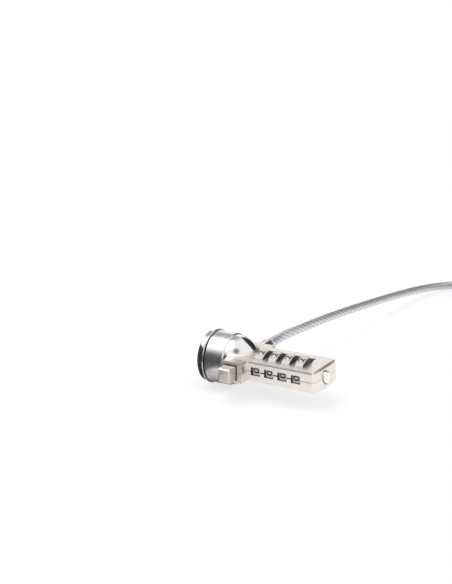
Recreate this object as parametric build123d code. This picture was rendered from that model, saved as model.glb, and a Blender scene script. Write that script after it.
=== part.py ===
"""Four-dial cable lock for a notebook's security slot.

Millimetres. +X runs along the barrel, away from the notebook's side, +Y is towards the cable's side and
+Z is up. The origin is the middle of the slot on the notebook's outer face, where the nose rests. The barrel
turns about the X axis. The dials, the code spindle and the reset button share a parallel axis 1 mm in front
of it. The lock is stored locked in its slot, with its set code showing, so the T-bar stands crosswise and the
anti-turn pins are out.
"""

import os
from math import radians, tan

from build123d import *

# Shared allowances: play of parts that touch, how far cutters reach past a face and how deep joined bodies
# overlap
FIT_GAP = 0.02
RUNNING_FIT = 0.06
PAST = 1.0
OVERLAP = 0.5
SPRING_END_GAP = 0.05

# Nose and its T-bar
PAD_THICK = 0.9
PAD_EDGE = 0.2
PAD_OUTER_R = 9.8
NOSE_FRONT_X = 0.4
NOSE_BACK_X = 3.85
NOSE_FRONT_R = 10.6
NOSE_R = 11.5
NOSE_RIM_R = 12.1
NOSE_LEAD = (0.7, 0.1)
NOSE_RIM_X = (2.85, 3.45, 3.7)
NOSE_RIM_EDGE = 0.2
BOSS_R = 4.0
BOSS_END_X = 9.0
NECK_R = 1.35
HEAD_LENGTH = 6.6
HEAD_WIDTH = 2.7
HEAD_OUTER_X = -3.6
HEAD_INNER_X = -1.9
HEAD_EDGE_R = 1.1
RIVET_R = 1.55
RIVET_THICK = 0.25
SNAP_RING_R = 5.0
SNAP_GROOVE_R = 3.7
SNAP_X = (7.5, 8.1)
SNAP_MOUTH = 2.0

# Anti-turn pins on their carrier
PIN_R = 0.9
PIN_HOLE_R = 0.97
PIN_OFFSET = 2.5
PIN_TIP_X = -2.1
PIN_EDGE = 0.2
CARRIER_X = (9.6, 10.8)
CARRIER_R = 3.6
TAIL_R = 1.3
COLLAR_R = 2.6
COLLAR_X = (20.6, 21.5)
PIN_TRAVEL = 2.2

# Barrel and dome
BAND_X = (4.15, 13.5)
BAND_R = 11.5
BAND_BORE_R = 9.6
BULKHEAD_X = (5.4, 7.2)
BAND_CHAMFER = 0.45
DOME_R = 10.95
DOME_INNER_R = 9.8
DOME_SLOT_X = 15.4

# Flat housing
HALF_THICK = 4.47
NECK_X = (9.35, 15.6)
NECK_HALF_WIDTH = 8.4
HEAD_X = (15.6, 26.0)
HEAD_FRONT_Y = -16.0
HEAD_BACK_Y = 14.2
BODY_HALF_WIDTH = 10.95
SPLIT_GAP = 0.03
# Sections of the housing from its underside to its top: height, inset of the edge, where the far end's
# corners stand, how far the end bows out between them and the corners' radius
HOUSING_SECTIONS = [
    (-HALF_THICK, 0.45, 57.6, 1.6, 0.9),
    (-HALF_THICK + 0.45, 0.0, 57.5, 1.55, 1.3),
    (HALF_THICK - 0.9, 0.0, 57.0, 0.4, 0.7),
    (HALF_THICK, 0.45, 57.1, 0.04, 0.25),
]
SHOULDER_R = 2.9
SHOULDER_ROOT = (1.5, 0.1)
NECK_STEP = 0.05
PARTING_GROOVE = (0.2, 0.25, 57.26, 0.98, 1.0)
CARRIER_BORE_R = 3.95
TAIL_BORE_R = 1.7
HEAD_CAVITY_X = (17.2, 23.9)
HEAD_CAVITY_Y = (-14.9, 4.8)
HEAD_CAVITY_Z = 3.4
BUTTON_GAP = 0.35
DIAL_BORE_X = (24.6, 55.3)
DIAL_BORE_R = 3.85
SPINDLE_BORE_R = 1.75
RESET_BORE_R = 2.95

# Dials, code sleeves and spindle
DIAL_COUNT = 4
DIAL_AXIS_Y = -1.0
FIRST_DIAL_X = 28.6
DIAL_PITCH = 6.4
DIAL_R = 7.0
DIAL_HALF_THICK = 1.85
DIAL_POCKET_R = 7.4
DIAL_SLOT_Y = (-6.9, 6.3)
DIAL_SLOT_DEPTH = 1.2
DIAL_SIDE_GAP = 0.3
DIAL_BORE_FIT_R = 3.3
DIGITS = 10
DIAL_EDGE = 0.3
FLUTE_R = 0.45
FLUTE_RISE = 0.1575
WINDOW_SHIFT = 1.2
WINDOW_HALF_X = 2.2
WINDOW_Z = (-1.55, 2.0)
FRONT_WALL = 1.2
FRONT_ROOM_Y = -5.0
FRONT_ROOM_Z = (-2.6, 3.0)
INDEX_MARK_Z = (-0.1, 0.5)
INDEX_MARK_DEPTH = 0.45
INDEX_MARK_LAP = 0.1
SLEEVE_R = 3.2
SLEEVE_START = -2.0
SLEEVE_LENGTH = 6.3
SLEEVE_BORE_R = 1.58
SLEEVE_GATE_LENGTH = 2.4
SLEEVE_ROOM_R = 2.35
GATE_ANGLES = (0, 90, 180, 270)
GATE_WIDTH = 1.2
CLUTCH_TEETH = 5
CLUTCH_TOOTH = (1.05, 0.9, 3.7)
CLUTCH_CLEARANCE = 0.1
SPINDLE_X = (21.6, 53.0)
SPINDLE_R = 1.5
LUG_THICK = 1.0
LUG_R = 2.1
LUG_WIDTH = 0.8
LUG_LEAD = 3.15
RESET_HUB = (3.2, 52.2, 53.9)
RESET_FLANGE = (3.72, 53.9, 55.0)
RESET_CAP = (2.65, 55.0, 59.2)
RESET_BORE = (1.7, 57.6)
RESET_EDGE = 0.3
DETENT_Y = 6.8
DETENT_THICK = 0.35
DETENT_HALF_Z = 1.6
DETENT_REACH = 2.4
DETENT_ROOM = (0.2, 1.2, 0.1)
DETENT_BUMP_HALF = 0.8
DETENT_SPLIT = (1.0, 0.6)
DETENT_BUMP_R = 0.55
DETENT_TIP_GAP = 0.08

# Push button
BUTTON_X = (18.0, 23.3)
BUTTON_Y = (-22.0, -14.4)
BUTTON_Z = 3.05
BUTTON_EDGE = 0.5
BUTTON_TRAVEL = 3.0
BUTTON_FLANGE_X = (17.5, 23.6)
BUTTON_FLANGE_Y = (-14.6, -13.4)
FORK_BACK_X = 17.6
FORK_TIP_Y = 1.2
FORK_Z = (1.65, 3.0)
FORK_GAP = 0.15
FORK_LAP = 0.2
FORK_CONTACT_Y = -2.0

# Cable, its swivel anchor and its end
ANCHOR_PIN = (19.4, 10.2)
ANCHOR_Z = 1.2
ANCHOR_PIN_R = 0.85
ANCHOR_PIN_PROUD = 0.08
ANCHOR_PIN_EDGE = 0.15
ANCHOR_EYE_R = 2.4
ANCHOR_HALF_Z = 1.9
ANCHOR_HOLE_R = 0.92
SHANK_R = 1.75
SHANK_LAP = 0.4
ANCHOR_TILT = 6.0
ANCHOR_CHAMBER_R = 2.8
ANCHOR_CHAMBER_Z = 2.25
ANCHOR_MOUTH_X = (16.2, 22.7)
FERRULE_START = 4.7
FERRULE_END = 11.6
FERRULE_R = 2.9
FERRULE_EDGE = 0.5
CABLE_R = 2.2
TABLE_Z = -13.0
CABLE_ROUTE = [
    (18.19, 21.74, 1.2),
    (17.25, 30.69, 1.2),
    (18.9, 42.0, 2.0),
    (20.6, 58.0, 1.8),
    (22.1, 80.0, 0.9),
    (23.4, 104.0, -0.9),
    (24.8, 130.0, -3.1),
    (26.7, 156.0, -5.4),
    (29.0, 180.0, -7.7),
    (33.0, 200.0, -9.8),
    (43.5, 215.6, -10.8),
    (56.1, 227.9, -10.8),
]
ARC_SHARE = 0.45
COIL_CENTRE = (78.0, 206.0)
COIL_INNER_R = 15.6
COIL_OUTER_R = 33.2
COIL_HEIGHT = 13.2
COIL_EDGE = 1.8
LOOP_CENTRE = (78.0, 202.0)
LOOP_R = 18.6
END_FERRULE = (11.5, 9.8, 5.4)
END_FERRULE_SHIFT = 1.4
END_FERRULE_R = 2.5
END_FERRULE_EDGE = 0.4

# Fasteners and springs
SCREW_PLACES = [(52.8, 8.75), (52.8, -8.75), (24.95, -13.9), (25.0, 12.6)]
SCREW_R = 0.6
SCREW_HEAD_R = 1.0
SCREW_HEAD_Z = (-4.4, -3.5)
SCREW_TIP_Z = 2.8
SCREW_SLOT = (0.35, 0.6)
SCREW_LAP = 0.2
SCREW_HOLE_LENGTH = 7.6
# Springs: mean radius, wire radius, the planes they stand between and their turns
PIN_SPRING_END_X = 14.55
PIN_SPRING = (2.5, 0.3, CARRIER_X[1] + SPRING_END_GAP, PIN_SPRING_END_X, 4)
SPINDLE_SPRING = (1.3, 0.2, SPINDLE_X[1] + SPRING_END_GAP, RESET_BORE[1] - SPRING_END_GAP, 5)
SLEEVE_SPRING = (3.0, 0.25, DIAL_BORE_X[0] + SPRING_END_GAP, FIRST_DIAL_X + SLEEVE_START - SPRING_END_GAP, 2)


def block(x, y, z):
    """Box between pairs of X, Y and Z."""
    middle = [(pair[0] + pair[1]) / 2 for pair in (x, y, z)]
    return Pos(*middle) * Box(x[1] - x[0], y[1] - y[0], z[1] - z[0])


def rod(radius, x0, x1, y=0.0, z=0.0):
    """Round bar along X."""
    return Pos((x0 + x1) / 2, y, z) * Rot(0, 90, 0) * Cylinder(radius, x1 - x0)


def turned(outline):
    """Body of revolution about the X axis from (x, radius) points."""
    profile = make_face(Polyline(*[(x, radius) for x, radius in outline], close=True))
    return revolve(profile, Axis.X)


def coil_spring(mean_r, wire_r, x0, x1, turns):
    """Round-wire compression spring along X between two planes."""
    length = x1 - x0 - 2 * wire_r
    path = Helix(pitch=length / turns, height=length, radius=mean_r)
    wire = sweep(Plane(path @ 0, z_dir=path % 0) * Circle(wire_r), path)
    return Pos(x0 + wire_r, 0, 0) * Rot(0, 90, 0) * wire


def dial_x(index):
    return FIRST_DIAL_X + index * DIAL_PITCH


def on_dial_axis(part):
    return Pos(0, DIAL_AXIS_Y, 0) * part


def nose_ring():
    pad_back = PAD_THICK + FIT_GAP
    body = turned([
        (pad_back, NECK_R + FIT_GAP),
        (pad_back, PAD_OUTER_R + FIT_GAP),
        (NOSE_FRONT_X, PAD_OUTER_R + FIT_GAP),
        (NOSE_FRONT_X, NOSE_FRONT_R),
        (NOSE_FRONT_X + NOSE_LEAD[0], NOSE_R - NOSE_LEAD[1]),
        (NOSE_RIM_X[0], NOSE_R),
        (NOSE_RIM_X[1], NOSE_RIM_R),
        (NOSE_RIM_X[2], NOSE_RIM_R),
        (NOSE_BACK_X, NOSE_RIM_R - NOSE_RIM_EDGE),
        (NOSE_BACK_X, BOSS_R),
        (SNAP_X[0] - FIT_GAP, BOSS_R),
        (SNAP_X[0] - FIT_GAP, SNAP_GROOVE_R - FIT_GAP),
        (SNAP_X[1] + FIT_GAP, SNAP_GROOVE_R - FIT_GAP),
        (SNAP_X[1] + FIT_GAP, BOSS_R),
        (BOSS_END_X, BOSS_R),
        (BOSS_END_X, NECK_R + FIT_GAP),
    ])
    for side in (1, -1):
        body -= rod(PIN_HOLE_R, -PAST, BOSS_END_X + PAST, y=side * PIN_OFFSET)
    return body


def face_pad():
    pad = rod(PAD_OUTER_R, 0, PAD_THICK) - rod(BOSS_R, -PAST, PAD_THICK + PAST)
    return chamfer(pad.edges().filter_by(GeomType.CIRCLE).group_by(Axis.X)[0], PAD_EDGE)


def t_bar():
    across, along = HEAD_WIDTH / 2, HEAD_LENGTH / 2
    head = block((HEAD_OUTER_X, HEAD_INNER_X), (-across, across), (-along, along))
    head = fillet(head.edges().filter_by(Axis.X), HEAD_EDGE_R)
    rivet = rod(RIVET_R, BOSS_END_X + FIT_GAP, BOSS_END_X + FIT_GAP + RIVET_THICK)
    rivet -= rod(PIN_HOLE_R, BOSS_END_X, CARRIER_X[0], y=PIN_OFFSET)
    rivet -= rod(PIN_HOLE_R, BOSS_END_X, CARRIER_X[0], y=-PIN_OFFSET)
    return head + rod(NECK_R, HEAD_INNER_X - OVERLAP, BOSS_END_X + FIT_GAP + RIVET_THICK) + rivet


def snap_ring():
    cut_x = (SNAP_X[0] - PAST, SNAP_X[1] + PAST)
    ring = rod(SNAP_RING_R, *SNAP_X) - rod(SNAP_GROOVE_R, *cut_x)
    return ring - block(cut_x, (-SNAP_MOUTH / 2, SNAP_MOUTH / 2), (0, SNAP_RING_R + PAST))


def pin_carrier():
    body = rod(CARRIER_R, *CARRIER_X) + rod(TAIL_R, CARRIER_X[0], COLLAR_X[1]) + rod(COLLAR_R, *COLLAR_X)
    for side in (1, -1):
        pin = rod(PIN_R, PIN_TIP_X, CARRIER_X[0] + OVERLAP, y=side * PIN_OFFSET)
        body += chamfer(pin.edges().sort_by(Axis.X)[0], PIN_EDGE)
    return body


def barrel_band():
    return turned([
        (BAND_X[0], BAND_BORE_R),
        (BAND_X[0], BAND_R - BAND_CHAMFER),
        (BAND_X[0] + BAND_CHAMFER, BAND_R),
        (BAND_X[1] - BAND_CHAMFER, BAND_R),
        (BAND_X[1], BAND_R - BAND_CHAMFER),
        (BAND_X[1], BAND_BORE_R),
        (BULKHEAD_X[1], BAND_BORE_R),
        (BULKHEAD_X[1], BOSS_R + RUNNING_FIT),
        (BULKHEAD_X[0], BOSS_R + RUNNING_FIT),
        (BULKHEAD_X[0], BAND_BORE_R),
    ])


def dome_cap():
    dome = Pos(BAND_X[1] + FIT_GAP, 0, 0) * (Sphere(DOME_R) - Sphere(DOME_INNER_R))
    dome &= block((BAND_X[1] + FIT_GAP, BAND_X[1] + DOME_R + PAST), (-DOME_R, DOME_R), (-DOME_R, DOME_R))
    slot = HALF_THICK + FIT_GAP
    dome -= block((DOME_SLOT_X, BAND_X[1] + DOME_R + PAST), (-DOME_R, DOME_R), (-slot, slot))
    return dome


def housing_outline(height, inset, end_x, bow, corner_r):
    """Plan of the flat housing at one height: the wide head, then the dial section with its bowed far end."""
    near_x, head_x, far_x = HEAD_X[0] + inset, HEAD_X[1] - inset, end_x - inset
    front, back, half = HEAD_FRONT_Y + inset, HEAD_BACK_Y - inset, BODY_HALF_WIDTH - inset
    first, last = (far_x, half), (far_x, -half)
    sides = Polyline(
        first, (head_x, half), (head_x, back), (near_x, back),
        (near_x, front), (head_x, front), (head_x, -half), last,
    )
    plan = make_face(sides + ThreePointArc(last, (far_x + bow, 0), first))
    corners = plan.vertices().sort_by(Axis.X)[-2:]
    return Pos(0, 0, height) * fillet(corners, corner_r)


def shoulder():
    """Hollow curve that leads from the dome down to the housing's flat top."""
    rise = HALF_THICK + SHOULDER_R
    reach = ((DOME_R + SHOULDER_R) ** 2 - rise ** 2) ** 0.5
    share = DOME_R / (DOME_R + SHOULDER_R)
    touch = (reach * share, rise * share)
    low = HALF_THICK - SHOULDER_ROOT[1]
    bend = ((touch[0] + reach) / 2, (touch[1] + HALF_THICK) / 2)
    away = Vector(bend[0] - reach, bend[1] - rise).normalized() * SHOULDER_R
    profile = make_face(
        ThreePointArc(touch, (reach + away.X, rise + away.Y), (reach, HALF_THICK))
        + Polyline((reach, HALF_THICK), (reach, low), (touch[0] - SHOULDER_ROOT[0], low), touch)
    )
    ring = Pos(BAND_X[1] + FIT_GAP, 0, 0) * revolve(Plane.XZ * profile, Axis.Z)
    ring -= Pos(BAND_X[1] + FIT_GAP, 0, 0) * Sphere(DOME_R + FIT_GAP)
    return ring & block((HEAD_X[0], HEAD_X[1]), (-DOME_R - SHOULDER_R, DOME_R + SHOULDER_R), (low, rise))


def housing_blank():
    """Outer form of the flat housing with its bores, before it is split into two shells."""
    form = loft([housing_outline(*section) for section in HOUSING_SECTIONS], ruled=True)
    form += shoulder()
    form += mirror(shoulder(), Plane.XY)
    neck_z = HALF_THICK - NECK_STEP
    form += block(NECK_X, (-NECK_HALF_WIDTH, NECK_HALF_WIDTH), (-neck_z, neck_z))
    form -= rod(CARRIER_BORE_R, NECK_X[0] - PAST, NECK_X[1])
    form -= rod(TAIL_BORE_R, NECK_X[1] - PAST, HEAD_CAVITY_X[0] + PAST)
    form -= block(HEAD_CAVITY_X, HEAD_CAVITY_Y, (-HEAD_CAVITY_Z, HEAD_CAVITY_Z))
    mouth_x = (BUTTON_X[0] - BUTTON_GAP, BUTTON_X[1] + BUTTON_GAP)
    mouth_z = (-BUTTON_Z - BUTTON_GAP, BUTTON_Z + BUTTON_GAP)
    form -= block(mouth_x, (HEAD_FRONT_Y - PAST, HEAD_CAVITY_Y[0] + PAST), mouth_z)
    form -= rod(SPINDLE_BORE_R, HEAD_CAVITY_X[1] - PAST, DIAL_BORE_X[0] + PAST, y=DIAL_AXIS_Y)
    form -= rod(DIAL_BORE_R, *DIAL_BORE_X, y=DIAL_AXIS_Y)
    form -= rod(RESET_BORE_R, DIAL_BORE_X[1] - PAST, RESET_CAP[2] + PAST, y=DIAL_AXIS_Y)
    return form - parting_groove() - anchor_chamber() - anchor_pin_hole()


def parting_groove():
    """Shallow groove round the housing where its two shells meet."""
    height, depth, end_x, bow, corner_r = PARTING_GROOVE
    around = extrude(housing_outline(-height / 2, -PAST, end_x, bow, corner_r), height)
    return around - extrude(housing_outline(-height / 2, depth, end_x, bow, corner_r), height)


def anchor_chamber():
    x, y = ANCHOR_PIN
    back = HEAD_BACK_Y + PAST
    flare = make_face(Polyline(
        (x - ANCHOR_CHAMBER_R, y),
        (x + ANCHOR_CHAMBER_R, y),
        (ANCHOR_MOUTH_X[1], back),
        (ANCHOR_MOUTH_X[0], back),
        close=True,
    ))
    room = extrude(Pos(0, 0, ANCHOR_Z - ANCHOR_CHAMBER_Z) * flare, 2 * ANCHOR_CHAMBER_Z)
    return room + Pos(x, y, ANCHOR_Z) * Cylinder(ANCHOR_CHAMBER_R, 2 * ANCHOR_CHAMBER_Z)


def anchor_pin_hole():
    return Pos(*ANCHOR_PIN, 0) * Cylinder(ANCHOR_PIN_R + FIT_GAP, 2 * (HALF_THICK + PAST))


def dial_pockets():
    """Round pockets that open as slots above and below, and the reading windows in the front wall."""
    half = DIAL_HALF_THICK + DIAL_SIDE_GAP
    cuts = []
    for index in range(DIAL_COUNT):
        x = dial_x(index)
        cuts.append(rod(DIAL_POCKET_R, x - half, x + half, y=DIAL_AXIS_Y))
        for side in (1, -1):
            deep = sorted((side * (HALF_THICK - DIAL_SLOT_DEPTH), side * (HALF_THICK + PAST)))
            cuts.append(block((x - half, x + half), DIAL_SLOT_Y, deep))
        cuts.append(block((x - half, x + half), (FRONT_WALL - BODY_HALF_WIDTH, FRONT_ROOM_Y), FRONT_ROOM_Z))
        cuts.append(block(window_x(index), (-BODY_HALF_WIDTH - PAST, FRONT_ROOM_Y), WINDOW_Z))
    return cuts


def window_x(index):
    middle = dial_x(index) + WINDOW_SHIFT
    return (middle - WINDOW_HALF_X, middle + WINDOW_HALF_X)


def index_marks():
    """Engraved lines between the windows that the digits are read against."""
    marks = []
    for index in range(DIAL_COUNT - 1):
        span = (window_x(index)[1] - INDEX_MARK_LAP, window_x(index + 1)[0] + INDEX_MARK_LAP)
        depth = (-BODY_HALF_WIDTH - PAST, -BODY_HALF_WIDTH + INDEX_MARK_DEPTH)
        marks.append(block(span, depth, INDEX_MARK_Z))
    return marks


def detent_groove():
    reach = DETENT_REACH + DETENT_ROOM[0]
    first, last = dial_x(0) - reach, dial_x(DIAL_COUNT - 1) + reach
    y = (DETENT_Y - DETENT_ROOM[1], DETENT_Y + DETENT_THICK + DETENT_ROOM[2])
    half = DETENT_HALF_Z + DETENT_ROOM[2]
    return block((first, last), y, (-half, half))


def housing_shell(upper):
    shell = housing_blank()
    for cut in dial_pockets() + index_marks():
        shell -= cut
    shell -= detent_groove()
    for place in SCREW_PLACES:
        shell -= Pos(*place, 0) * Cylinder(SCREW_R + FIT_GAP, SCREW_HOLE_LENGTH)
        head_room = (SCREW_HEAD_Z[0] - OVERLAP, SCREW_HEAD_Z[1] + FIT_GAP)
        middle, height = sum(head_room) / 2, head_room[1] - head_room[0]
        shell -= Pos(*place, middle) * Cylinder(SCREW_HEAD_R + FIT_GAP, height)
    top = HALF_THICK + SHOULDER_R
    z = (SPLIT_GAP / 2, top) if upper else (-top, -SPLIT_GAP / 2)
    return shell & block((0, RESET_CAP[2] + PAST), (HEAD_FRONT_Y - PAST, HEAD_BACK_Y + PAST), z)


def housing_screws():
    screws = []
    for place in SCREW_PLACES:
        head = Pos(*place, sum(SCREW_HEAD_Z) / 2) * Cylinder(SCREW_HEAD_R, SCREW_HEAD_Z[1] - SCREW_HEAD_Z[0])
        head -= Pos(*place, SCREW_HEAD_Z[0]) * Box(2 * SCREW_HEAD_R + PAST, *SCREW_SLOT)
        length = SCREW_TIP_Z - SCREW_HEAD_Z[1] + SCREW_LAP
        screws.append(head + Pos(*place, SCREW_TIP_Z - length / 2) * Cylinder(SCREW_R, length))
    return Compound(children=screws)


def push_button():
    pad = block(BUTTON_X, (BUTTON_Y[0], BUTTON_FLANGE_Y[1]), (-BUTTON_Z, BUTTON_Z))
    front = pad.faces().sort_by(Axis.Y)[0]
    pad = chamfer(front.edges(), BUTTON_EDGE)
    pad += block(BUTTON_FLANGE_X, BUTTON_FLANGE_Y, (-BUTTON_Z, BUTTON_Z))
    slope = PIN_TRAVEL / BUTTON_TRAVEL
    touch_x = COLLAR_X[0] - FORK_GAP
    wedge_end_y = FORK_CONTACT_Y - (BUTTON_X[1] - touch_x) / slope
    tip_x = touch_x - slope * (FORK_TIP_Y - FORK_CONTACT_Y)
    prong = make_face(Polyline(
        (FORK_BACK_X, BUTTON_FLANGE_Y[1] - FORK_LAP),
        (BUTTON_X[1], BUTTON_FLANGE_Y[1] - FORK_LAP),
        (BUTTON_X[1], wedge_end_y),
        (tip_x, FORK_TIP_Y),
        (FORK_BACK_X, FORK_TIP_Y),
        close=True,
    ))
    height = FORK_Z[1] - FORK_Z[0]
    for base in (FORK_Z[0], -FORK_Z[1]):
        pad += extrude(Pos(0, 0, base) * prong, height)
    return pad


def number_wheel(index):
    x = dial_x(index)
    half = DIAL_HALF_THICK
    wheel = rod(DIAL_R, x - half, x + half)
    wheel = chamfer(wheel.edges().filter_by(GeomType.CIRCLE), DIAL_EDGE)
    wheel -= rod(DIAL_BORE_FIT_R, x - half - PAST, x + half + PAST)
    for step in range(DIGITS):
        flute = rod(FLUTE_R, x - half - PAST, x + half + PAST, z=DIAL_R + FLUTE_RISE)
        wheel -= Rot(X=step * 360 / DIGITS) * flute
    depth, width, reach = CLUTCH_TOOTH
    for step in range(CLUTCH_TEETH):
        span = width / 2 + CLUTCH_CLEARANCE
        pocket_x = (x - half - PAST, x + SLEEVE_START + depth + CLUTCH_CLEARANCE)
        pocket = block(pocket_x, (-span, span), (0, reach + CLUTCH_CLEARANCE))
        wheel -= Rot(X=step * 360 / CLUTCH_TEETH) * pocket
    return wheel


def code_sleeve(index):
    start = dial_x(index) + SLEEVE_START
    end = start + SLEEVE_LENGTH
    gate_end = start + SLEEVE_GATE_LENGTH
    sleeve = rod(SLEEVE_R, start, end)
    depth, width, reach = CLUTCH_TOOTH
    for step in range(CLUTCH_TEETH):
        tooth = block((start, start + depth), (-width / 2, width / 2), (SLEEVE_R - OVERLAP, reach))
        sleeve += Rot(X=step * 360 / CLUTCH_TEETH) * tooth
    sleeve -= rod(SLEEVE_BORE_R, start - PAST, end + PAST)
    sleeve -= rod(SLEEVE_ROOM_R, gate_end, end + PAST)
    for angle in GATE_ANGLES:
        gate_y = (-GATE_WIDTH / 2, GATE_WIDTH / 2)
        gate = block((start - PAST, gate_end + OVERLAP), gate_y, (0, SLEEVE_ROOM_R))
        sleeve -= Rot(X=angle) * gate
    return sleeve


def code_spindle():
    spindle = rod(SPINDLE_R, *SPINDLE_X)
    for index in range(DIAL_COUNT):
        lug_x = dial_x(index) - LUG_LEAD
        spindle += block((lug_x, lug_x + LUG_THICK), (-LUG_WIDTH / 2, LUG_WIDTH / 2), (0, LUG_R))
    return spindle


def reset_button():
    cap = rod(*RESET_CAP)
    cap = chamfer(cap.edges().sort_by(Axis.X)[-1], RESET_EDGE)
    body = cap + rod(*RESET_FLANGE) + rod(*RESET_HUB)
    return body - rod(RESET_BORE[0], RESET_HUB[1] - PAST, RESET_BORE[1])


def detent_spring():
    """Leaf spring split into one finger for each dial, each with a bump that drops into the flutes."""
    first, last = dial_x(0) - DETENT_REACH, dial_x(DIAL_COUNT - 1) + DETENT_REACH
    leaf = block((first, last), (DETENT_Y, DETENT_Y + DETENT_THICK), (-DETENT_HALF_Z, DETENT_HALF_Z))
    width, top = DETENT_SPLIT
    for index in range(DIAL_COUNT - 1):
        middle = dial_x(index) + DIAL_PITCH / 2
        split_x = (middle - width / 2, middle + width / 2)
        leaf -= block(split_x, (DETENT_Y - PAST, DETENT_Y + PAST), (-DETENT_HALF_Z - PAST, top))
    bump_y = DIAL_AXIS_Y + DIAL_R + DETENT_TIP_GAP + DETENT_BUMP_R
    for index in range(DIAL_COUNT):
        x = dial_x(index)
        leaf += rod(DETENT_BUMP_R, x - DETENT_BUMP_HALF, x + DETENT_BUMP_HALF, y=bump_y)
    return leaf


def anchor_pin():
    top = HALF_THICK + ANCHOR_PIN_PROUD
    pin = Pos(*ANCHOR_PIN, 0) * Cylinder(ANCHOR_PIN_R, 2 * top)
    return chamfer(pin.edges().filter_by(GeomType.CIRCLE), ANCHOR_PIN_EDGE)


def cable_anchor():
    eye = Cylinder(ANCHOR_EYE_R, 2 * ANCHOR_HALF_Z)
    shank = Pos(0, FERRULE_START / 2, 0) * Rot(90, 0, 0) * Cylinder(SHANK_R, FERRULE_START + SHANK_LAP)
    middle = (FERRULE_START + FERRULE_END) / 2
    ferrule = Pos(0, middle, 0) * Rot(90, 0, 0) * Cylinder(FERRULE_R, FERRULE_END - FERRULE_START)
    ferrule = chamfer(ferrule.edges().filter_by(GeomType.CIRCLE), FERRULE_EDGE)
    body = eye + shank + ferrule
    body -= Cylinder(ANCHOR_HOLE_R, 2 * ANCHOR_HALF_Z + PAST)
    return Pos(*ANCHOR_PIN, ANCHOR_Z) * Rot(Z=ANCHOR_TILT) * body


def cable_run():
    """The cable's straight runs joined by tangent arcs, from the ferrule's end to the coil."""
    points = [Vector(*point) for point in CABLE_ROUTE]
    radii = []
    for before, here, after in zip(points, points[1:], points[2:]):
        turn = (here - before).get_angle(after - here)
        shorter = min((here - before).length, (after - here).length)
        radii.append(ARC_SHARE * shorter / tan_half(turn))
    path = FilletPolyline(*points, radius=radii)
    return sweep(Plane(path @ 0, z_dir=path % 0) * Circle(CABLE_R), path)


def tan_half(degrees):
    return tan(radians(degrees) / 2)


def cable_coil():
    ring = Cylinder(COIL_OUTER_R, COIL_HEIGHT) - Cylinder(COIL_INNER_R, COIL_HEIGHT + PAST)
    ring = fillet(ring.edges().filter_by(GeomType.CIRCLE), COIL_EDGE)
    return Pos(*COIL_CENTRE, TABLE_Z + COIL_HEIGHT / 2) * ring


def end_loop():
    """The cable's own end, bent round into an eye that lies on the coil."""
    z = TABLE_Z + COIL_HEIGHT + CABLE_R
    eye = Pos(*LOOP_CENTRE, z) * Torus(LOOP_R, CABLE_R)
    x, y = LOOP_CENTRE
    half = END_FERRULE[0] / 2
    cut_z = (z - CABLE_R - PAST, z + CABLE_R + PAST)
    return eye - block((x - half, x + half), (y + LOOP_R / 2, y + LOOP_R + half), cut_z)


def end_ferrule():
    """Crimped sleeve that holds the eye's end beside the cable."""
    z = TABLE_Z + COIL_HEIGHT + CABLE_R
    x, y = LOOP_CENTRE
    length, width, height = END_FERRULE
    sleeve = Pos(x, y + LOOP_R + END_FERRULE_SHIFT, z) * Box(length, width, height)
    sleeve = fillet(sleeve.edges().filter_by(Axis.X), END_FERRULE_R)
    return chamfer(sleeve.faces().filter_by(Axis.X).edges(), END_FERRULE_EDGE)


def write(name, part):
    export_step(part, f"parts/{name}.step")


def main():
    os.makedirs("parts", exist_ok=True)
    write("nose_ring", nose_ring())
    write("face_pad", face_pad())
    write("t_bar", t_bar())
    write("snap_ring", snap_ring())
    write("pin_carrier", pin_carrier())
    write("pin_spring", coil_spring(*PIN_SPRING))
    write("barrel_band", barrel_band())
    write("dome_cap", dome_cap())
    write("upper_shell", housing_shell(upper=True))
    write("lower_shell", housing_shell(upper=False))
    write("housing_screws", housing_screws())
    write("push_button", push_button())
    for index in range(DIAL_COUNT):
        write(f"number_wheel_{index + 1}", on_dial_axis(number_wheel(index)))
        write(f"code_sleeve_{index + 1}", on_dial_axis(code_sleeve(index)))
    write("code_spindle", on_dial_axis(code_spindle()))
    write("spindle_spring", on_dial_axis(coil_spring(*SPINDLE_SPRING)))
    write("sleeve_spring", on_dial_axis(coil_spring(*SLEEVE_SPRING)))
    write("reset_button", on_dial_axis(reset_button()))
    write("detent_spring", detent_spring())
    write("anchor_pin", anchor_pin())
    write("cable_anchor", cable_anchor())
    write("cable_run", cable_run())
    write("cable_coil", cable_coil())
    write("end_loop", end_loop())
    write("end_ferrule", end_ferrule())


main()
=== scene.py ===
import math

import bmesh
import bpy
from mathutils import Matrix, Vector


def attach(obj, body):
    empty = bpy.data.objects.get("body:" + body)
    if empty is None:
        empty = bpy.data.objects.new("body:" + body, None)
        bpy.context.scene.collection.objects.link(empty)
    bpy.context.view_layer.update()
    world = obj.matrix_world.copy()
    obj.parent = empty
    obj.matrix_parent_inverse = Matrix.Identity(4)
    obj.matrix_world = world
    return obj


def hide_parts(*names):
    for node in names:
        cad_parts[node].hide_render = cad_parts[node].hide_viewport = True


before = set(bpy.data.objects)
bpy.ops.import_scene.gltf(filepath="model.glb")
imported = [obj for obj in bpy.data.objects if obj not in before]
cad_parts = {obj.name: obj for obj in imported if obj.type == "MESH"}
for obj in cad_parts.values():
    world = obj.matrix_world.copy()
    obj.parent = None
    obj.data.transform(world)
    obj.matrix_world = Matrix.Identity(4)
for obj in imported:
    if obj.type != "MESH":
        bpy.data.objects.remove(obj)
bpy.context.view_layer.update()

MM = 0.001

# Camera: place in millimetres, angles in degrees
CAMERA_PLACE = (245.5, -396.8, 155.3)
CAMERA_PITCH = -15.18
CAMERA_YAW = 30.82
CAMERA_LENS = 67.81
CAMERA_SENSOR = 36
CAMERA_CLIP = (0.01, 100)

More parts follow.
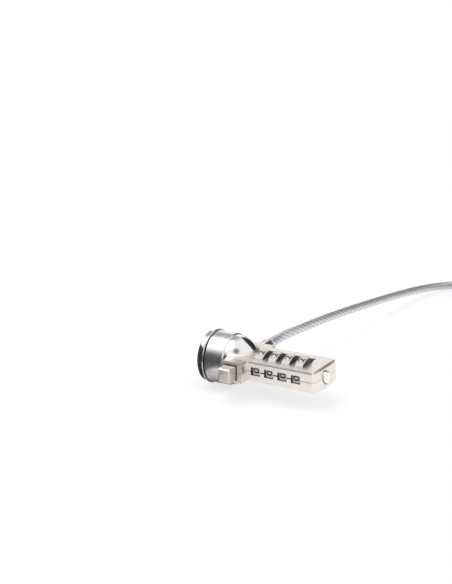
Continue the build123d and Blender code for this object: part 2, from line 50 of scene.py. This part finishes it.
# Studio: cards are corners in millimetres. Panels are azimuth, elevation, core and rim in degrees, and the
# share of the light that is left in the core
FLOOR_HALF = 60.0
FLOOR_GLOW = 0.66
FLAG_CORNERS = [(-1, -260, -13), (-1, 60, -13), (-1, 60, 10), (-1, -260, 10)]
FLAG_COLOUR = (0.02, 0.02, 0.022)
# The under card is a painted shadow: a greyer sheet under the barrel that only reflections see
UNDER_CARD_CORNERS = [(-1, -20, -12.9), (15, -20, -12.9), (15, 22, -12.9), (-1, 22, -12.9)]
UNDER_CARD_COLOUR = (0.68, 0.65, 0.62)
WORLD_STRENGTH = 1.04
WORLD_COLOUR = (1.0, 0.995, 0.985)
WORLD_PANELS = [
    (80, 18, 23, 29, 0.03),
    (240, 6, 16, 34, 0.10),
    (140, 42, 14, 36, 0.42),
    (210, 55, 8, 30, 1.35),
    (122, 14, 7, 15, 1.4),
    (308, 55, 3, 19, 0.25),
]
SOFTBOX_PLACE = (-0.35, -0.15, 1.0)
SOFTBOX_SIZE = (0.9, 0.6)
SOFTBOX_WATTS = 3.2

# Metal colours and the places on the housing that are darker, as low and high corners in millimetres. Both
# darker places are painted shade: the head's front block, and black inside the dial and button rooms
PEARL = (0.83, 0.775, 0.73)
PEARL_TINT = (0.87, 0.825, 0.79)
# Colour of the painted shade on the front of the head
HEAD_PAINTED_SHADE = (0.60, 0.55, 0.505)
HEAD_END_X = (25.7, 26.1)
HEAD_START_Y = (-11.6, -10.9)
# Black painted as shade inside the dial and button rooms
CAVITY_PAINTED_SHADE = (0.012, 0.011, 0.011)
DIAL_ROOM = ((26.2, -10.86, -3.95), (56.0, 10.2, 3.95))
BUTTON_ROOM = ((16.6, -15.3, -4.0), (24.2, 13.4, 4.0))

# Cable, in millimetres as in the CAD
TABLE_Z = -13.0
CABLE_R = 2.2
CABLE_ROUTE = [
    (18.19, 21.74, 1.2),
    (17.25, 30.69, 1.2),
    (18.9, 42.0, 2.0),
    (20.6, 58.0, 1.8),
    (22.1, 80.0, 0.9),
    (23.4, 104.0, -0.9),
    (24.8, 130.0, -3.1),
    (26.7, 156.0, -5.4),
    (29.0, 180.0, -7.7),
    (33.0, 200.0, -9.8),
    (43.5, 215.6, -10.8),
    (56.1, 227.9, -10.8),
]
COIL_CENTRE = (78.0, 206.0)
COIL_OUTER_TURN = 31.0
COIL_INNER_TURN = 17.8
COIL_START_ANGLE = 135.0
COIL_TURNS = 8.8
POINTS_PER_TURN = 16
TURNS_PER_LAYER = 3
CLIMB_TURNS = 0.6
TAIL_TURNS = [(185, 19.4, -1.7), (160, 19.4, -0.6), (138, 19.3, 1.0), (119, 19.2, 2.1)]
LOOP_CENTRE = (78.0, 202.0)
LOOP_R = 18.6
LOOP_Z = 2.4
FERRULE_HALF = 5.75
CRIMP_ENTRY_Y = 224.2
CRIMP_ENTRY_X = (-1.6, 1.5)
EYE_LAP = 0.6
EYE_STEPS = 72
CABLE_SIDES = 20
STRANDS = 6
STRAND_LAY = 0.021
WIRES_AROUND = 36
WIRES_ALONG = 1400

# Dials and their digits, in millimetres and degrees
DIAL_COUNT = 4
FIRST_DIAL_X = 28.6
DIAL_PITCH = 6.4
DIAL_R = 7.0
DIAL_AXIS_Y = -1.0
DIGITS = 10
DIGIT_HEIGHT = 2.9
DIGIT_BOLDER = 0.018
DIGIT_SLICES = 12
DIGIT_WIDEN = 1.35
DIGIT_DROP = 2.0
DIGIT_PROUD = 0.03
DIGIT_DEEP = 0.12

# Shares of a metal's colour in its darker streaks
TURNED_DIM = 0.97
POLISHED_DIM = 0.96


def mm(*values):
    return tuple(value * MM for value in values)


def add(item):
    bpy.context.scene.collection.objects.link(item)
    return item


def dimmed(colour, share):
    return tuple(channel * share for channel in colour)


def make_camera():
    camera = add(bpy.data.objects.new("camera", bpy.data.cameras.new("camera")))
    camera.location = mm(*CAMERA_PLACE)
    camera.rotation_euler = (math.pi / 2 + math.radians(CAMERA_PITCH), 0, math.radians(CAMERA_YAW))
    camera.data.lens = CAMERA_LENS
    camera.data.sensor_width = CAMERA_SENSOR
    camera.data.clip_start, camera.data.clip_end = CAMERA_CLIP
    bpy.context.scene.camera = camera


# ---------------------------------------------------------------- materials

class Look:
    """A node material under construction."""

    def __init__(self, name, colour, metal, rough):
        self.material = bpy.data.materials.new(name)
        self.material.use_nodes = True
        self.tree = self.material.node_tree
        self.shader = self.tree.nodes["Principled BSDF"]
        self.shader.inputs["Base Color"].default_value = (*colour, 1)
        self.shader.inputs["Metallic"].default_value = metal
        self.shader.inputs["Roughness"].default_value = rough
        self.place = self.node("ShaderNodeTexCoord").outputs["Object"]

    def node(self, kind, **settings):
        item = self.tree.nodes.new(kind)
        for key, value in settings.items():
            setattr(item, key, value)
        return item

    def link(self, source, target):
        self.tree.links.new(source, target)

    def feed(self, value, socket):
        """Links a socket, or sets a plain value."""
        if isinstance(value, bpy.types.NodeSocket):
            self.link(value, socket)
        else:
            socket.default_value = value

    def math(self, operation, a, b=0.0, c=0.0):
        item = self.node("ShaderNodeMath", operation=operation)
        for value, socket in zip((a, b, c), item.inputs):
            self.feed(value, socket)
        return item.outputs[0]

    def axes(self, source=None):
        split = self.node("ShaderNodeSeparateXYZ")
        self.link(source or self.place, split.inputs[0])
        return split.outputs

    def noise(self, scale, detail=3.0, rough=0.5, source=None, stretch=None):
        item = self.node("ShaderNodeTexNoise")
        item.inputs["Scale"].default_value = scale
        item.inputs["Detail"].default_value = detail
        item.inputs["Roughness"].default_value = rough
        place = source or self.place
        if stretch:
            scaled = self.node("ShaderNodeVectorMath", operation="MULTIPLY")
            self.link(place, scaled.inputs[0])
            scaled.inputs[1].default_value = stretch
            place = scaled.outputs[0]
        self.link(place, item.inputs["Vector"])
        return item.outputs["Fac"]

    def ramp(self, value, low, high, out_low, out_high):
        item = self.node("ShaderNodeMapRange")
        item.interpolation_type = "SMOOTHSTEP"
        self.feed(value, item.inputs["Value"])
        item.inputs["From Min"].default_value = low
        item.inputs["From Max"].default_value = high
        item.inputs["To Min"].default_value = out_low
        item.inputs["To Max"].default_value = out_high
        return item.outputs["Result"]

    def mix(self, share, first, second):
        item = self.node("ShaderNodeMix", data_type="RGBA")
        self.feed(share, item.inputs["Factor"])
        for value, key in ((first, "A"), (second, "B")):
            socket = [s for s in item.inputs if s.name == key and s.type == "RGBA"][0]
            self.feed((*value, 1) if isinstance(value, tuple) else value, socket)
        return [s for s in item.outputs if s.type == "RGBA"][0]

    def colour(self, value):
        self.feed(value, self.shader.inputs["Base Color"])

    def rough(self, value):
        self.feed(value, self.shader.inputs["Roughness"])

    def metal(self, value):
        self.feed(value, self.shader.inputs["Metallic"])

    def bump(self, value, distance, strength=1.0):
        item = self.node("ShaderNodeBump")
        item.inputs["Distance"].default_value = distance
        item.inputs["Strength"].default_value = strength
        self.link(value, item.inputs["Height"])
        self.link(item.outputs["Normal"], self.shader.inputs["Normal"])


def inside_box(look, low, high, edge=0.12):
    """1 within a box given in millimetres, 0 outside it."""
    share = 1.0
    for axis, value in enumerate(look.axes()):
        above = look.ramp(value, (low[axis] - edge) * MM, (low[axis] + edge) * MM, 0, 1)
        below = look.ramp(value, (high[axis] - edge) * MM, (high[axis] + edge) * MM, 1, 0)
        share = look.math("MULTIPLY", share, look.math("MULTIPLY", above, below))
    return share


def plated(name, colour, rough, tint, grain=1.0):
    """Satin nickel over a fine casting: soft mottling, fine grain and slightly worn patches."""
    look = Look(name, colour, 1.0, rough)
    cloud = look.noise(220, 4, 0.6)
    fleck = look.noise(2600, 2, 0.6)
    shade = look.ramp(cloud, 0.3, 0.7, 0, 1)
    look.colour(look.mix(shade, colour, tint))
    scuff = look.ramp(look.noise(900, 5, 0.7, stretch=(0.35, 1.6, 1.0)), 0.5, 0.75, 0, 0.12)
    look.rough(look.math("ADD", look.ramp(fleck, 0.25, 0.75, rough - 0.05, rough + 0.06), scuff))
    look.bump(fleck, 0.00002 * grain, 0.6)
    return look


def housing_look():
    """Pearl nickel, with painted shade darkening the head's front block and black painted as shade inside
    the dial and button rooms.
    """
    look = plated("satin_pearl", PEARL, 0.33, PEARL_TINT)
    # Painted shade: the dial and button rooms go black and lose their metal
    rooms = look.math("ADD", inside_box(look, *DIAL_ROOM, edge=0.05), inside_box(look, *BUTTON_ROOM))
    share = look.math("MINIMUM", rooms, 1.0)
    skin = look.shader.inputs["Base Color"].links[0].from_socket
    along, across, _ = look.axes()
    # Painted shade on the head's front block
    head = look.math("MULTIPLY", look.ramp(along, *mm(*HEAD_END_X), 1, 0),
                     look.ramp(across, *mm(*HEAD_START_Y), 1, 0))
    skin = look.mix(head, skin, HEAD_PAINTED_SHADE)
    look.colour(look.mix(share, skin, CAVITY_PAINTED_SHADE))
    look.metal(look.math("SUBTRACT", 1.0, share))
    return look.material


def turned_look(name, colour, rough, ring=1.0):
    """Metal turned on a lathe: fine rings about the X axis over a soft polish."""
    look = Look(name, colour, 1.0, rough)
    rings = look.noise(1.0, 3, 0.55, stretch=(6000, 60, 60))
    marks = look.noise(1.0, 3, 0.6, stretch=(350, 350, 350))
    look.rough(look.math("ADD", look.ramp(rings, 0.3, 0.7, rough - 0.04, rough + 0.05),
                         look.ramp(marks, 0.45, 0.75, 0, 0.06)))
    look.colour(look.mix(look.ramp(rings, 0.35, 0.65, 0, 1), colour, dimmed(colour, TURNED_DIM)))
    look.bump(rings, 0.000004 * ring, 0.6)
    return look.material


def polished_look(name, colour, rough):
    look = Look(name, colour, 1.0, rough)
    smear = look.noise(260, 5, 0.65)
    look.rough(look.ramp(smear, 0.35, 0.75, rough, rough + 0.07))
    cloud = look.noise(120, 3)
    look.colour(look.mix(look.ramp(cloud, 0.3, 0.7, 0, 1), colour, dimmed(colour, POLISHED_DIM)))
    look.bump(look.noise(3500, 2), 0.000003, 0.5)
    return look.material


def dial_look():
    """Silver number band between dark side faces, the band with a painted glow."""
    look = Look("dial_plate", (0.30, 0.295, 0.29), 0.1, 0.35)
    coordinates = look.tree.nodes["Texture Coordinate"]
    across = look.math("ABSOLUTE", look.axes(coordinates.outputs["Normal"])[0])
    side = look.ramp(across, 0.86, 0.95, 0, 1)
    grain = look.noise(1.0, 3, 0.6, stretch=(5200, 900, 900))
    band = look.mix(look.ramp(grain, 0.3, 0.7, 0, 1), (0.30, 0.295, 0.29), (0.24, 0.235, 0.23))
    look.colour(look.mix(side, band, (0.07, 0.066, 0.066)))
    look.metal(look.ramp(side, 0, 1, 0.15, 0.1))
    look.rough(look.math("ADD", look.ramp(grain, 0.3, 0.7, 0.24, 0.34), look.math("MULTIPLY", side, 0.12)))
    look.bump(grain, 0.00001, 0.5)
    # Painted light: the band glows to lighten it in the shaded reading windows, and the side faces get no
    # glow
    look.shader.inputs["Emission Color"].default_value = (1.0, 0.985, 0.965, 1)
    look.feed(look.ramp(side, 0, 1, 0.33, 0.0), look.shader.inputs["Emission Strength"])
    return look.material


def ink_look():
    look = Look("black_ink", (0.012, 0.012, 0.013), 0.0, 0.42)
    patch = look.noise(3000, 3, 0.6)
    look.colour(look.mix(look.ramp(patch, 0.35, 0.7, 0, 1), (0.010, 0.010, 0.011), (0.030, 0.029, 0.028)))
    look.rough(look.ramp(patch, 0.3, 0.7, 0.36, 0.55))
    look.bump(patch, 0.00001, 0.5)
    return look.material


def pad_look():
    look = Look("rubber_pad", (0.03, 0.03, 0.032), 0.0, 0.7)
    grain = look.noise(2400, 3, 0.7)
    look.colour(look.mix(look.ramp(grain, 0.3, 0.7, 0, 1), (0.022, 0.022, 0.024), (0.05, 0.05, 0.052)))
    look.rough(look.ramp(grain, 0.3, 0.7, 0.6, 0.82))
    look.bump(grain, 0.00004, 0.8)
    return look.material


def cable_look():
    """Twisted steel strands seen through a clear jacket, with painted shade in the valleys between strands.

    UV runs along the cable in metres and once round it.
    """
    look = Look("strands_in_clear_jacket", (0.8, 0.81, 0.83), 0.6, 0.34)
    along, around, _ = look.axes(look.tree.nodes["Texture Coordinate"].outputs["UV"])
    phase = look.math("ADD", look.math("MULTIPLY", around, STRANDS),
                      look.math("MULTIPLY", along, -STRANDS / STRAND_LAY))
    across = look.math("FRACT", phase)
    crest = look.math("SUBTRACT", 1.0, look.math("ABSOLUTE", look.math("MULTIPLY_ADD", across, 2.0, -1.0)))
    wires = look.math("FRACT", look.math("ADD", look.math("MULTIPLY", around, WIRES_AROUND),
                                         look.math("MULTIPLY", along, WIRES_ALONG)))
    wire = look.math("SUBTRACT", 1.0, look.math("ABSOLUTE", look.math("MULTIPLY_ADD", wires, 2.0, -1.0)))
    height = look.math("ADD", look.ramp(crest, 0, 1, 0, 1), look.math("MULTIPLY", wire, 0.12))
    cloud = look.noise(180, 3)
    light = look.mix(look.ramp(cloud, 0.3, 0.7, 0, 1), (0.70, 0.705, 0.715), (0.63, 0.635, 0.645))
    # Painted shade: the valleys between strands take the darker colour
    look.colour(look.mix(look.ramp(height, 0.0, 0.95, 0, 1), (0.47, 0.475, 0.49), light))
    look.rough(look.ramp(wire, 0, 1, 0.42, 0.28))
    look.bump(height, 0.00016, 0.6)
    look.shader.inputs["Coat Weight"].default_value = 1.0
    look.shader.inputs["Coat Roughness"].default_value = 0.12
    look.shader.inputs["Coat IOR"].default_value = 1.45
    return look.material


def spring_look():
    look = Look("spring_wire", (0.55, 0.55, 0.56), 1.0, 0.3)
    grain = look.noise(1.0, 3, 0.6, stretch=(1500, 1500, 4000))
    look.colour(look.mix(look.ramp(grain, 0.3, 0.7, 0, 1), (0.60, 0.60, 0.61), (0.45, 0.45, 0.46)))
    look.rough(look.ramp(grain, 0.3, 0.7, 0.24, 0.4))
    look.bump(grain, 0.00001, 0.5)
    return look.material


def paper_look():
    look = Look("table", (0.34, 0.34, 0.343), 0.0, 0.6)
    grain = look.noise(60, 4, 0.6)
    look.colour(look.mix(look.ramp(grain, 0.3, 0.7, 0, 1), (0.34, 0.34, 0.343), (0.31, 0.31, 0.313)))
    look.rough(look.ramp(grain, 0.3, 0.7, 0.55, 0.7))
    look.shader.inputs["Emission Color"].default_value = (1.0, 1.0, 1.0, 1)
    look.shader.inputs["Emission Strength"].default_value = FLOOR_GLOW
    return look.material


# ---------------------------------------------------------------- shapes

def mesh_object(name, mesh, look, body):
    mesh.materials.append(look)
    item = add(bpy.data.objects.new(name, mesh))
    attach(item, body)
    return item


def coil_points():
    """Turns of the put-away length: flat spirals that run inward and outward in turn, one on another."""
    points = []
    spread = COIL_OUTER_TURN - COIL_INNER_TURN
    for index in range(1, int(COIL_TURNS * POINTS_PER_TURN) + 1):
        layer, within = divmod(index / POINTS_PER_TURN, TURNS_PER_LAYER)
        climb = CLIMB_TURNS if layer else 0
        share = max(0.0, within - climb) / (TURNS_PER_LAYER - climb)
        radius = COIL_OUTER_TURN - spread * (share if layer % 2 == 0 else 1 - share)
        risen = min(1.0, within / climb) if layer else 1
        height = TABLE_Z + CABLE_R + 2 * CABLE_R * (layer - 1 + risen if layer else 0)
        angle = COIL_START_ANGLE - index * 360 / POINTS_PER_TURN
        points.append(on_circle(COIL_CENTRE, radius, angle, height))
    tail = [on_circle(COIL_CENTRE, radius, angle, height) for angle, radius, height in TAIL_TURNS]
    entry_x = LOOP_CENTRE[0] - FERRULE_HALF
    return points + tail + [(entry_x + step, CRIMP_ENTRY_Y, LOOP_Z) for step in CRIMP_ENTRY_X]


def on_circle(centre, radius, angle, height):
    turn = math.radians(angle)
    return (centre[0] + radius * math.cos(turn), centre[1] + radius * math.sin(turn), height)


def nurbs_line(points):
    """Places along one smooth open curve that has these control points."""
    data = bpy.data.curves.new("route", "CURVE")
    data.dimensions = "3D"
    spline = data.splines.new("NURBS")
    spline.points.add(len(points) - 1)
    for point, place in zip(spline.points, points):
        point.co = (*mm(*place), 1)
    spline.order_u = 3
    spline.use_endpoint_u = True
    spline.resolution_u = 6
    carrier = add(bpy.data.objects.new("route", data))
    line = bpy.data.meshes.new_from_object(carrier)
    places = [vertex.co.copy() for vertex in line.vertices]
    bpy.data.objects.remove(carrier)
    return places


def tube(name, places, radius, sides):
    """Round tube with UVs that run along it in metres and once round it."""
    shape = bmesh.new()
    layer = shape.loops.layers.uv.new("UVMap")
    turns = [math.tau * step / sides for step in range(sides)]
    across = Vector((0, 0, 1))
    rings, lengths, run = [], [], 0.0
    for index, place in enumerate(places):
        before, after = places[max(0, index - 1)], places[min(len(places) - 1, index + 1)]
        ahead = (after - before).normalized()
        across = (across - ahead * across.dot(ahead)).normalized()
        side = ahead.cross(across)
        run += (place - places[index - 1]).length if index else 0
        ring = [place + radius * (across * math.cos(turn) + side * math.sin(turn)) for turn in turns]
        rings.append([shape.verts.new(corner) for corner in ring])
        lengths.append(run)
    for index in range(len(rings) - 1):
        for step in range(sides):
            following = (step + 1) % sides
            face = shape.faces.new((rings[index][step], rings[index][following],
                                    rings[index + 1][following], rings[index + 1][step]))
            face.smooth = True
            rounds = (step / sides, (step + 1) / sides, (step + 1) / sides, step / sides)
            runs = (lengths[index], lengths[index], lengths[index + 1], lengths[index + 1])
            for loop, along, around in zip(face.loops, runs, rounds):
                loop[layer].uv = (along, around)
    shape.faces.new(reversed(rings[0]))
    shape.faces.new(rings[-1])
    bmesh.ops.recalc_face_normals(shape, faces=shape.faces[:])
    mesh = bpy.data.meshes.new(name)
    shape.to_mesh(mesh)
    shape.free()
    return mesh


def make_cable(look):
    """The cable as one tube to its crimp, and the eye that comes back into the same crimp."""
    places = nurbs_line(CABLE_ROUTE + coil_points())
    cable = mesh_object("cable", tube("cable", places, CABLE_R * MM, CABLE_SIDES), look, "cable")
    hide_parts("cable_run", "cable_coil")
    half_gap = math.degrees(math.asin((FERRULE_HALF - EYE_LAP) / LOOP_R))
    sweep = 360 - 2 * half_gap
    angles = [90 - half_gap - sweep * step / EYE_STEPS for step in range(EYE_STEPS + 1)]
    ring = [Vector(mm(*on_circle(LOOP_CENTRE, LOOP_R, angle, LOOP_Z))) for angle in angles]
    eye_mesh = tube("cable_eye", ring, CABLE_R * MM, CABLE_SIDES)
    eye = mesh_object("cable_eye", eye_mesh, look, "cable")
    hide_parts("end_loop")


def digit_mesh(digit):
    """Solid numeral standing in the XY plane, its middle at the origin."""
    data = bpy.data.curves.new("digit", "FONT")
    data.body = str(digit)
    data.align_x = "CENTER"
    data.align_y = "CENTER"
    data.offset = DIGIT_BOLDER
    data.extrude = 0.5
    data.resolution_u = 4
    carrier = add(bpy.data.objects.new("digit", data))
    mesh = bpy.data.meshes.new_from_object(carrier)
    bpy.data.objects.remove(carrier)
    return mesh


def middle_and_span(values):
    return (max(values) + min(values)) / 2, max(values) - min(values)


def bent_digit(glyph, middle_x, around):
    """One numeral scaled, laid with its height along X and bent round the wheel, at an angle in radians."""
    part = bmesh.new()
    part.from_mesh(glyph)
    lift, tall = middle_and_span([vertex.co.y for vertex in part.verts])
    centre, wide = middle_and_span([vertex.co.x for vertex in part.verts])
    scale = DIGIT_HEIGHT / tall
    for step in range(1, DIGIT_SLICES):
        cut_x = centre - wide / 2 + wide * step / DIGIT_SLICES
        geometry = part.verts[:] + part.edges[:] + part.faces[:]
        bmesh.ops.bisect_plane(part, geom=geometry, plane_co=(cut_x, 0, 0), plane_no=(1, 0, 0))
    bmesh.ops.triangulate(part, faces=part.faces[:])
    for vertex in part.verts:
        radial = DIAL_R + (DIGIT_PROUD if vertex.co.z > 0 else -DIGIT_DEEP)
        angle = around + (vertex.co.x - centre) * scale * DIGIT_WIDEN / DIAL_R
        x = middle_x - (vertex.co.y - lift) * scale
        vertex.co = mm(x, DIAL_AXIS_Y - radial * math.cos(angle), radial * math.sin(angle))
    mesh = bpy.data.meshes.new("bent_digit")
    part.to_mesh(mesh)
    part.free()
    return mesh


def make_digits(index, glyphs, look):
    """The numbers 0 to 9 laid round one wheel, 0 facing the reading window."""
    shape = bmesh.new()
    middle_x = FIRST_DIAL_X + index * DIAL_PITCH
    for digit, glyph in enumerate(glyphs):
        part = bent_digit(glyph, middle_x, math.tau * digit / DIGITS - math.radians(DIGIT_DROP))
        shape.from_mesh(part)
        bpy.data.meshes.remove(part)
    bmesh.ops.recalc_face_normals(shape, faces=shape.faces[:])
    mesh = bpy.data.meshes.new(f"digits_{index + 1}")
    shape.to_mesh(mesh)
    shape.free()
    mesh_object(f"digits_{index + 1}", mesh, look, f"dial_{index + 1}")


# ---------------------------------------------------------------- scene

def paint(looks):
    """Gives each CAD node its look. Wheels and sleeves are found by their name without its number."""
    for name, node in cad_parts.items():
        kind = name if name in looks else name.rpartition("_")[0]
        node.data.materials.clear()
        node.data.materials.append(looks[kind])


def make_floor():
    shape = bmesh.new()
    bmesh.ops.create_grid(shape, x_segments=8, y_segments=8, size=FLOOR_HALF)
    mesh = bpy.data.meshes.new("floor")
    shape.to_mesh(mesh)
    shape.free()
    mesh.materials.append(paper_look())
    floor = add(bpy.data.objects.new("floor", mesh))
    floor.location = (0, 0, TABLE_Z * MM)


def make_cards():
    """Cards that only reflections see, as a studio puts them beside bright metal.

    One is where the notebook's side would stand, and one is for the shadow under the barrel.
    """
    make_card("flag", FLAG_CORNERS, FLAG_COLOUR)
    make_card("under_card", UNDER_CARD_CORNERS, UNDER_CARD_COLOUR)


def make_card(name, corners, colour):
    shape = bmesh.new()
    shape.faces.new([shape.verts.new(mm(*corner)) for corner in corners])
    mesh = bpy.data.meshes.new(name)
    shape.to_mesh(mesh)
    shape.free()
    look = Look(name, colour, 0.0, 0.8)
    look.rough(look.ramp(look.noise(40), 0.3, 0.7, 0.7, 0.9))
    mesh.materials.append(look.material)
    card = add(bpy.data.objects.new(name, mesh))
    card.visible_camera = False
    card.visible_diffuse = False
    card.visible_shadow = False
    card.visible_transmission = False


def direction(azimuth, elevation):
    a, e = math.radians(azimuth), math.radians(elevation)
    return (math.cos(e) * math.cos(a), math.cos(e) * math.sin(a), math.sin(e))


def make_world():
    """White studio with a few darker and brighter panels for the metal to reflect."""
    world = bpy.data.worlds.new("studio")
    bpy.context.scene.world = world
    world.use_nodes = True
    tree = world.node_tree
    background = tree.nodes["Background"]
    place = tree.nodes.new("ShaderNodeTexCoord").outputs["Generated"]
    shade = None
    for azimuth, elevation, core, rim, level in WORLD_PANELS:
        dot = tree.nodes.new("ShaderNodeVectorMath")
        dot.operation = "DOT_PRODUCT"
        tree.links.new(place, dot.inputs[0])
        dot.inputs[1].default_value = direction(azimuth, elevation)
        edge = tree.nodes.new("ShaderNodeMapRange")
        edge.interpolation_type = "SMOOTHSTEP"
        tree.links.new(dot.outputs["Value"], edge.inputs["Value"])
        edge.inputs["From Min"].default_value = math.cos(math.radians(rim))
        edge.inputs["From Max"].default_value = math.cos(math.radians(core))
        edge.inputs["To Min"].default_value = 1.0
        edge.inputs["To Max"].default_value = level
        if shade is None:
            shade = edge.outputs["Result"]
        else:
            product = tree.nodes.new("ShaderNodeMath")
            product.operation = "MULTIPLY"
            tree.links.new(shade, product.inputs[0])
            tree.links.new(edge.outputs["Result"], product.inputs[1])
            shade = product.outputs[0]
    strength = tree.nodes.new("ShaderNodeMath")
    strength.operation = "MULTIPLY"
    tree.links.new(shade, strength.inputs[0])
    strength.inputs[1].default_value = WORLD_STRENGTH
    tree.links.new(strength.outputs[0], background.inputs["Strength"])
    background.inputs["Color"].default_value = (*WORLD_COLOUR, 1)


def make_key():
    light = bpy.data.lights.new("softbox", "AREA")
    light.shape = "RECTANGLE"
    light.size, light.size_y = SOFTBOX_SIZE
    light.energy = SOFTBOX_WATTS
    item = add(bpy.data.objects.new("softbox", light))
    item.location = SOFTBOX_PLACE
    item.rotation_euler = (-item.location).to_track_quat("-Z", "Y").to_euler()


bpy.context.scene.view_settings.view_transform = "Standard"
make_camera()
jacket = cable_look()
make_cable(jacket)

nickel = plated("satin_nickel", (0.64, 0.60, 0.55), 0.3, (0.69, 0.65, 0.60)).material
shell = housing_look()
steel = turned_look("turned_steel", (0.76, 0.76, 0.77), 0.27)
bright = polished_look("polished_steel", (0.83, 0.83, 0.84), 0.10)
ring = turned_look("bright_steel", (0.74, 0.74, 0.76), 0.16, 0.5)
dark_steel = polished_look("hardened_steel", (0.62, 0.62, 0.64), 0.2)
spring = spring_look()
dial = dial_look()
paint({
    "nose_ring": ring,
    "face_pad": pad_look(),
    "t_bar": dark_steel,
    "snap_ring": spring,
    "pin_carrier": dark_steel,
    "pin_spring": spring,
    "barrel_band": steel,
    "dome_cap": bright,
    "upper_shell": shell,
    "lower_shell": shell,
    "housing_screws": dark_steel,
    "push_button": nickel,
    "number_wheel": dial,
    "code_sleeve": dark_steel,
    "code_spindle": dark_steel,
    "spindle_spring": spring,
    "sleeve_spring": spring,
    "reset_button": plated("bright_nickel", (0.90, 0.87, 0.83), 0.22, (0.92, 0.89, 0.86)).material,
    "detent_spring": spring,
    "anchor_pin": dark_steel,
    "cable_anchor": turned_look("anchor_steel", (0.80, 0.80, 0.80), 0.24),
    "cable_run": jacket,
    "cable_coil": jacket,
    "end_loop": jacket,
    "end_ferrule": polished_look("crimped_aluminium", (0.80, 0.80, 0.81), 0.28),
})

ink = ink_look()
glyphs = [digit_mesh(digit) for digit in range(DIGITS)]
for index in range(DIAL_COUNT):
    make_digits(index, glyphs, ink)
make_floor()
make_cards()
make_world()
make_key()
